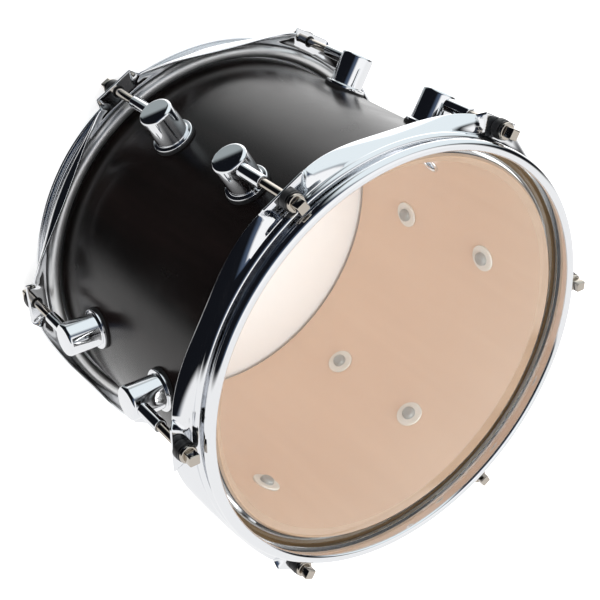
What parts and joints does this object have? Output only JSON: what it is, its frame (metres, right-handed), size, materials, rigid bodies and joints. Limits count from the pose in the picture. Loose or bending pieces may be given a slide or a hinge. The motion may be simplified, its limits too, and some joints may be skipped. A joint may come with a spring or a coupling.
{
  "type": "rack tom drum",
  "caption": "Rack tom drum: dark lacquered wooden shell, clear and white heads, chrome triple-flanged hoops, round turret lugs with receiver tubes and tension rods.",
  "frame": {"origin": "on the drum's axis, in the plane of the rear rim that the drum stands on", "axes": "+Z along the drum's axis from the rear head to the clear front head; +X through lug one"},
  "size_m": [0.3016, 0.2798, 0.2126],
  "materials": {
    "maple": "clear-coated maple",
    "dark_lacquer": "satin dark lacquer",
    "chrome": "polished chrome plate",
    "clear_film": "clear film",
    "white_film": "white film",
    "flesh_aluminium": "mill finish",
    "resin": "dark cast resin",
    "rod_steel": "nickel plate",
    "plated_steel": "zinc plate",
    "dark_steel": "blackened",
    "black_nylon": "moulded",
    "white_nylon": "moulded",
    "black_rubber": "moulded"
  },
  "bodies": {
    "drum": {"shell": "maple", "outer_ply": "dark_lacquer", "vent_grommet": "chrome", "front_receivers": "chrome", "front_gaskets": "black_rubber", "front_screw_washers": "white_nylon", "front_lug_screws": "plated_steel", "front_turret_1": "chrome", "front_turret_2": "chrome", "front_turret_3": "chrome", "front_turret_4": "chrome", "front_turret_5": "chrome", "front_turret_6": "chrome", "rear_receivers": "chrome", "rear_gaskets": "black_rubber", "rear_screw_washers": "white_nylon", "rear_lug_screws": "plated_steel", "rear_turret_1": "chrome", "rear_turret_2": "chrome", "rear_turret_3": "chrome", "rear_turret_4": "chrome", "rear_turret_5": "chrome", "rear_turret_6": "chrome"},
    "front_hoop_set": {"front_hoop": "chrome", "front_rod_bushes": "black_nylon", "front_rod_washers": "dark_steel"},
    "front_head_set": {"front_head_film": "clear_film", "front_flesh_hoop": "flesh_aluminium", "front_resin_ring": "resin"},
    "front_rod_1": {"front_rod_1": "rod_steel"},
    "front_rod_2": {"front_rod_2": "rod_steel"},
    "front_rod_3": {"front_rod_3": "rod_steel"},
    "front_rod_4": {"front_rod_4": "rod_steel"},
    "front_rod_5": {"front_rod_5": "rod_steel"},
    "front_rod_6": {"front_rod_6": "rod_steel"},
    "rear_hoop_set": {"rear_hoop": "chrome", "rear_rod_bushes": "black_nylon", "rear_rod_washers": "dark_steel"},
    "rear_head_set": {"rear_head_film": "white_film", "rear_flesh_hoop": "flesh_aluminium", "rear_resin_ring": "resin"},
    "rear_rod_1": {"rear_rod_1": "rod_steel"},
    "rear_rod_2": {"rear_rod_2": "rod_steel"},
    "rear_rod_3": {"rear_rod_3": "rod_steel"},
    "rear_rod_4": {"rear_rod_4": "rod_steel"},
    "rear_rod_5": {"rear_rod_5": "rod_steel"},
    "rear_rod_6": {"rear_rod_6": "rod_steel"}
  },
  "joints": [
    {"name": "front_hoop_travel", "type": "slide", "parent": "drum", "child": "front_hoop_set", "axis": [0, 0, 1], "range_m": [0, 0.01]},
    {"name": "front_head_travel", "type": "slide", "parent": "drum", "child": "front_head_set", "axis": [0, 0, 1], "range_m": [0, 0.01]},
    {"name": "front_rod_1_turn", "type": "hinge", "parent": "front_hoop_set", "child": "front_rod_1", "pos_m": [0.1448, 0, 0.2013], "axis": [0, 0, 1], "range_deg": [0, 3402]},
    {"name": "front_rod_2_turn", "type": "hinge", "parent": "front_hoop_set", "child": "front_rod_2", "pos_m": [0.0724, 0.1254, 0.2013], "axis": [0, 0, 1], "range_deg": [0, 3402]},
    {"name": "front_rod_3_turn", "type": "hinge", "parent": "front_hoop_set", "child": "front_rod_3", "pos_m": [-0.0724, 0.1254, 0.2013], "axis": [0, 0, 1], "range_deg": [0, 3402]},
    {"name": "front_rod_4_turn", "type": "hinge", "parent": "front_hoop_set", "child": "front_rod_4", "pos_m": [-0.1448, 0, 0.2013], "axis": [0, 0, 1], "range_deg": [0, 3402]},
    {"name": "front_rod_5_turn", "type": "hinge", "parent": "front_hoop_set", "child": "front_rod_5", "pos_m": [-0.0724, -0.1254, 0.2013], "axis": [0, 0, 1], "range_deg": [0, 3402]},
    {"name": "front_rod_6_turn", "type": "hinge", "parent": "front_hoop_set", "child": "front_rod_6", "pos_m": [0.0724, -0.1254, 0.2013], "axis": [0, 0, 1], "range_deg": [0, 3402]},
    {"name": "rear_hoop_travel", "type": "slide", "parent": "drum", "child": "rear_hoop_set", "axis": [0, 0, 1], "range_m": [-0.01, 0]},
    {"name": "rear_head_travel", "type": "slide", "parent": "drum", "child": "rear_head_set", "axis": [0, 0, 1], "range_m": [-0.01, 0]},
    {"name": "rear_rod_1_turn", "type": "hinge", "parent": "rear_hoop_set", "child": "rear_rod_1", "pos_m": [0.1448, 0, 0.0113], "axis": [0, 0, 1], "range_deg": [-3402, 0]},
    {"name": "rear_rod_2_turn", "type": "hinge", "parent": "rear_hoop_set", "child": "rear_rod_2", "pos_m": [0.0724, 0.1254, 0.0113], "axis": [0, 0, 1], "range_deg": [-3402, 0]},
    {"name": "rear_rod_3_turn", "type": "hinge", "parent": "rear_hoop_set", "child": "rear_rod_3", "pos_m": [-0.0724, 0.1254, 0.0113], "axis": [0, 0, 1], "range_deg": [-3402, 0]},
    {"name": "rear_rod_4_turn", "type": "hinge", "parent": "rear_hoop_set", "child": "rear_rod_4", "pos_m": [-0.1448, 0, 0.0113], "axis": [0, 0, 1], "range_deg": [-3402, 0]},
    {"name": "rear_rod_5_turn", "type": "hinge", "parent": "rear_hoop_set", "child": "rear_rod_5", "pos_m": [-0.0724, -0.1254, 0.0113], "axis": [0, 0, 1], "range_deg": [-3402, 0]},
    {"name": "rear_rod_6_turn", "type": "hinge", "parent": "rear_hoop_set", "child": "rear_rod_6", "pos_m": [0.0724, -0.1254, 0.0113], "axis": [0, 0, 1], "range_deg": [-3402, 0]}
  ],
  "couplings": [
    {"joint": "front_head_travel", "follows": "front_hoop_travel", "ratio": 1},
    {"joint": "front_rod_1_turn", "follows": "front_hoop_travel", "rad_per_m": 5936.9},
    {"joint": "front_rod_2_turn", "follows": "front_hoop_travel", "rad_per_m": 5936.9},
    {"joint": "front_rod_3_turn", "follows": "front_hoop_travel", "rad_per_m": 5936.9},
    {"joint": "front_rod_4_turn", "follows": "front_hoop_travel", "rad_per_m": 5936.9},
    {"joint": "front_rod_5_turn", "follows": "front_hoop_travel", "rad_per_m": 5936.9},
    {"joint": "front_rod_6_turn", "follows": "front_hoop_travel", "rad_per_m": 5936.9},
    {"joint": "rear_head_travel", "follows": "rear_hoop_travel", "ratio": 1},
    {"joint": "rear_rod_1_turn", "follows": "rear_hoop_travel", "rad_per_m": 5936.9},
    {"joint": "rear_rod_2_turn", "follows": "rear_hoop_travel", "rad_per_m": 5936.9},
    {"joint": "rear_rod_3_turn", "follows": "rear_hoop_travel", "rad_per_m": 5936.9},
    {"joint": "rear_rod_4_turn", "follows": "rear_hoop_travel", "rad_per_m": 5936.9},
    {"joint": "rear_rod_5_turn", "follows": "rear_hoop_travel", "rad_per_m": 5936.9},
    {"joint": "rear_rod_6_turn", "follows": "rear_hoop_travel", "rad_per_m": 5936.9}
  ]
}
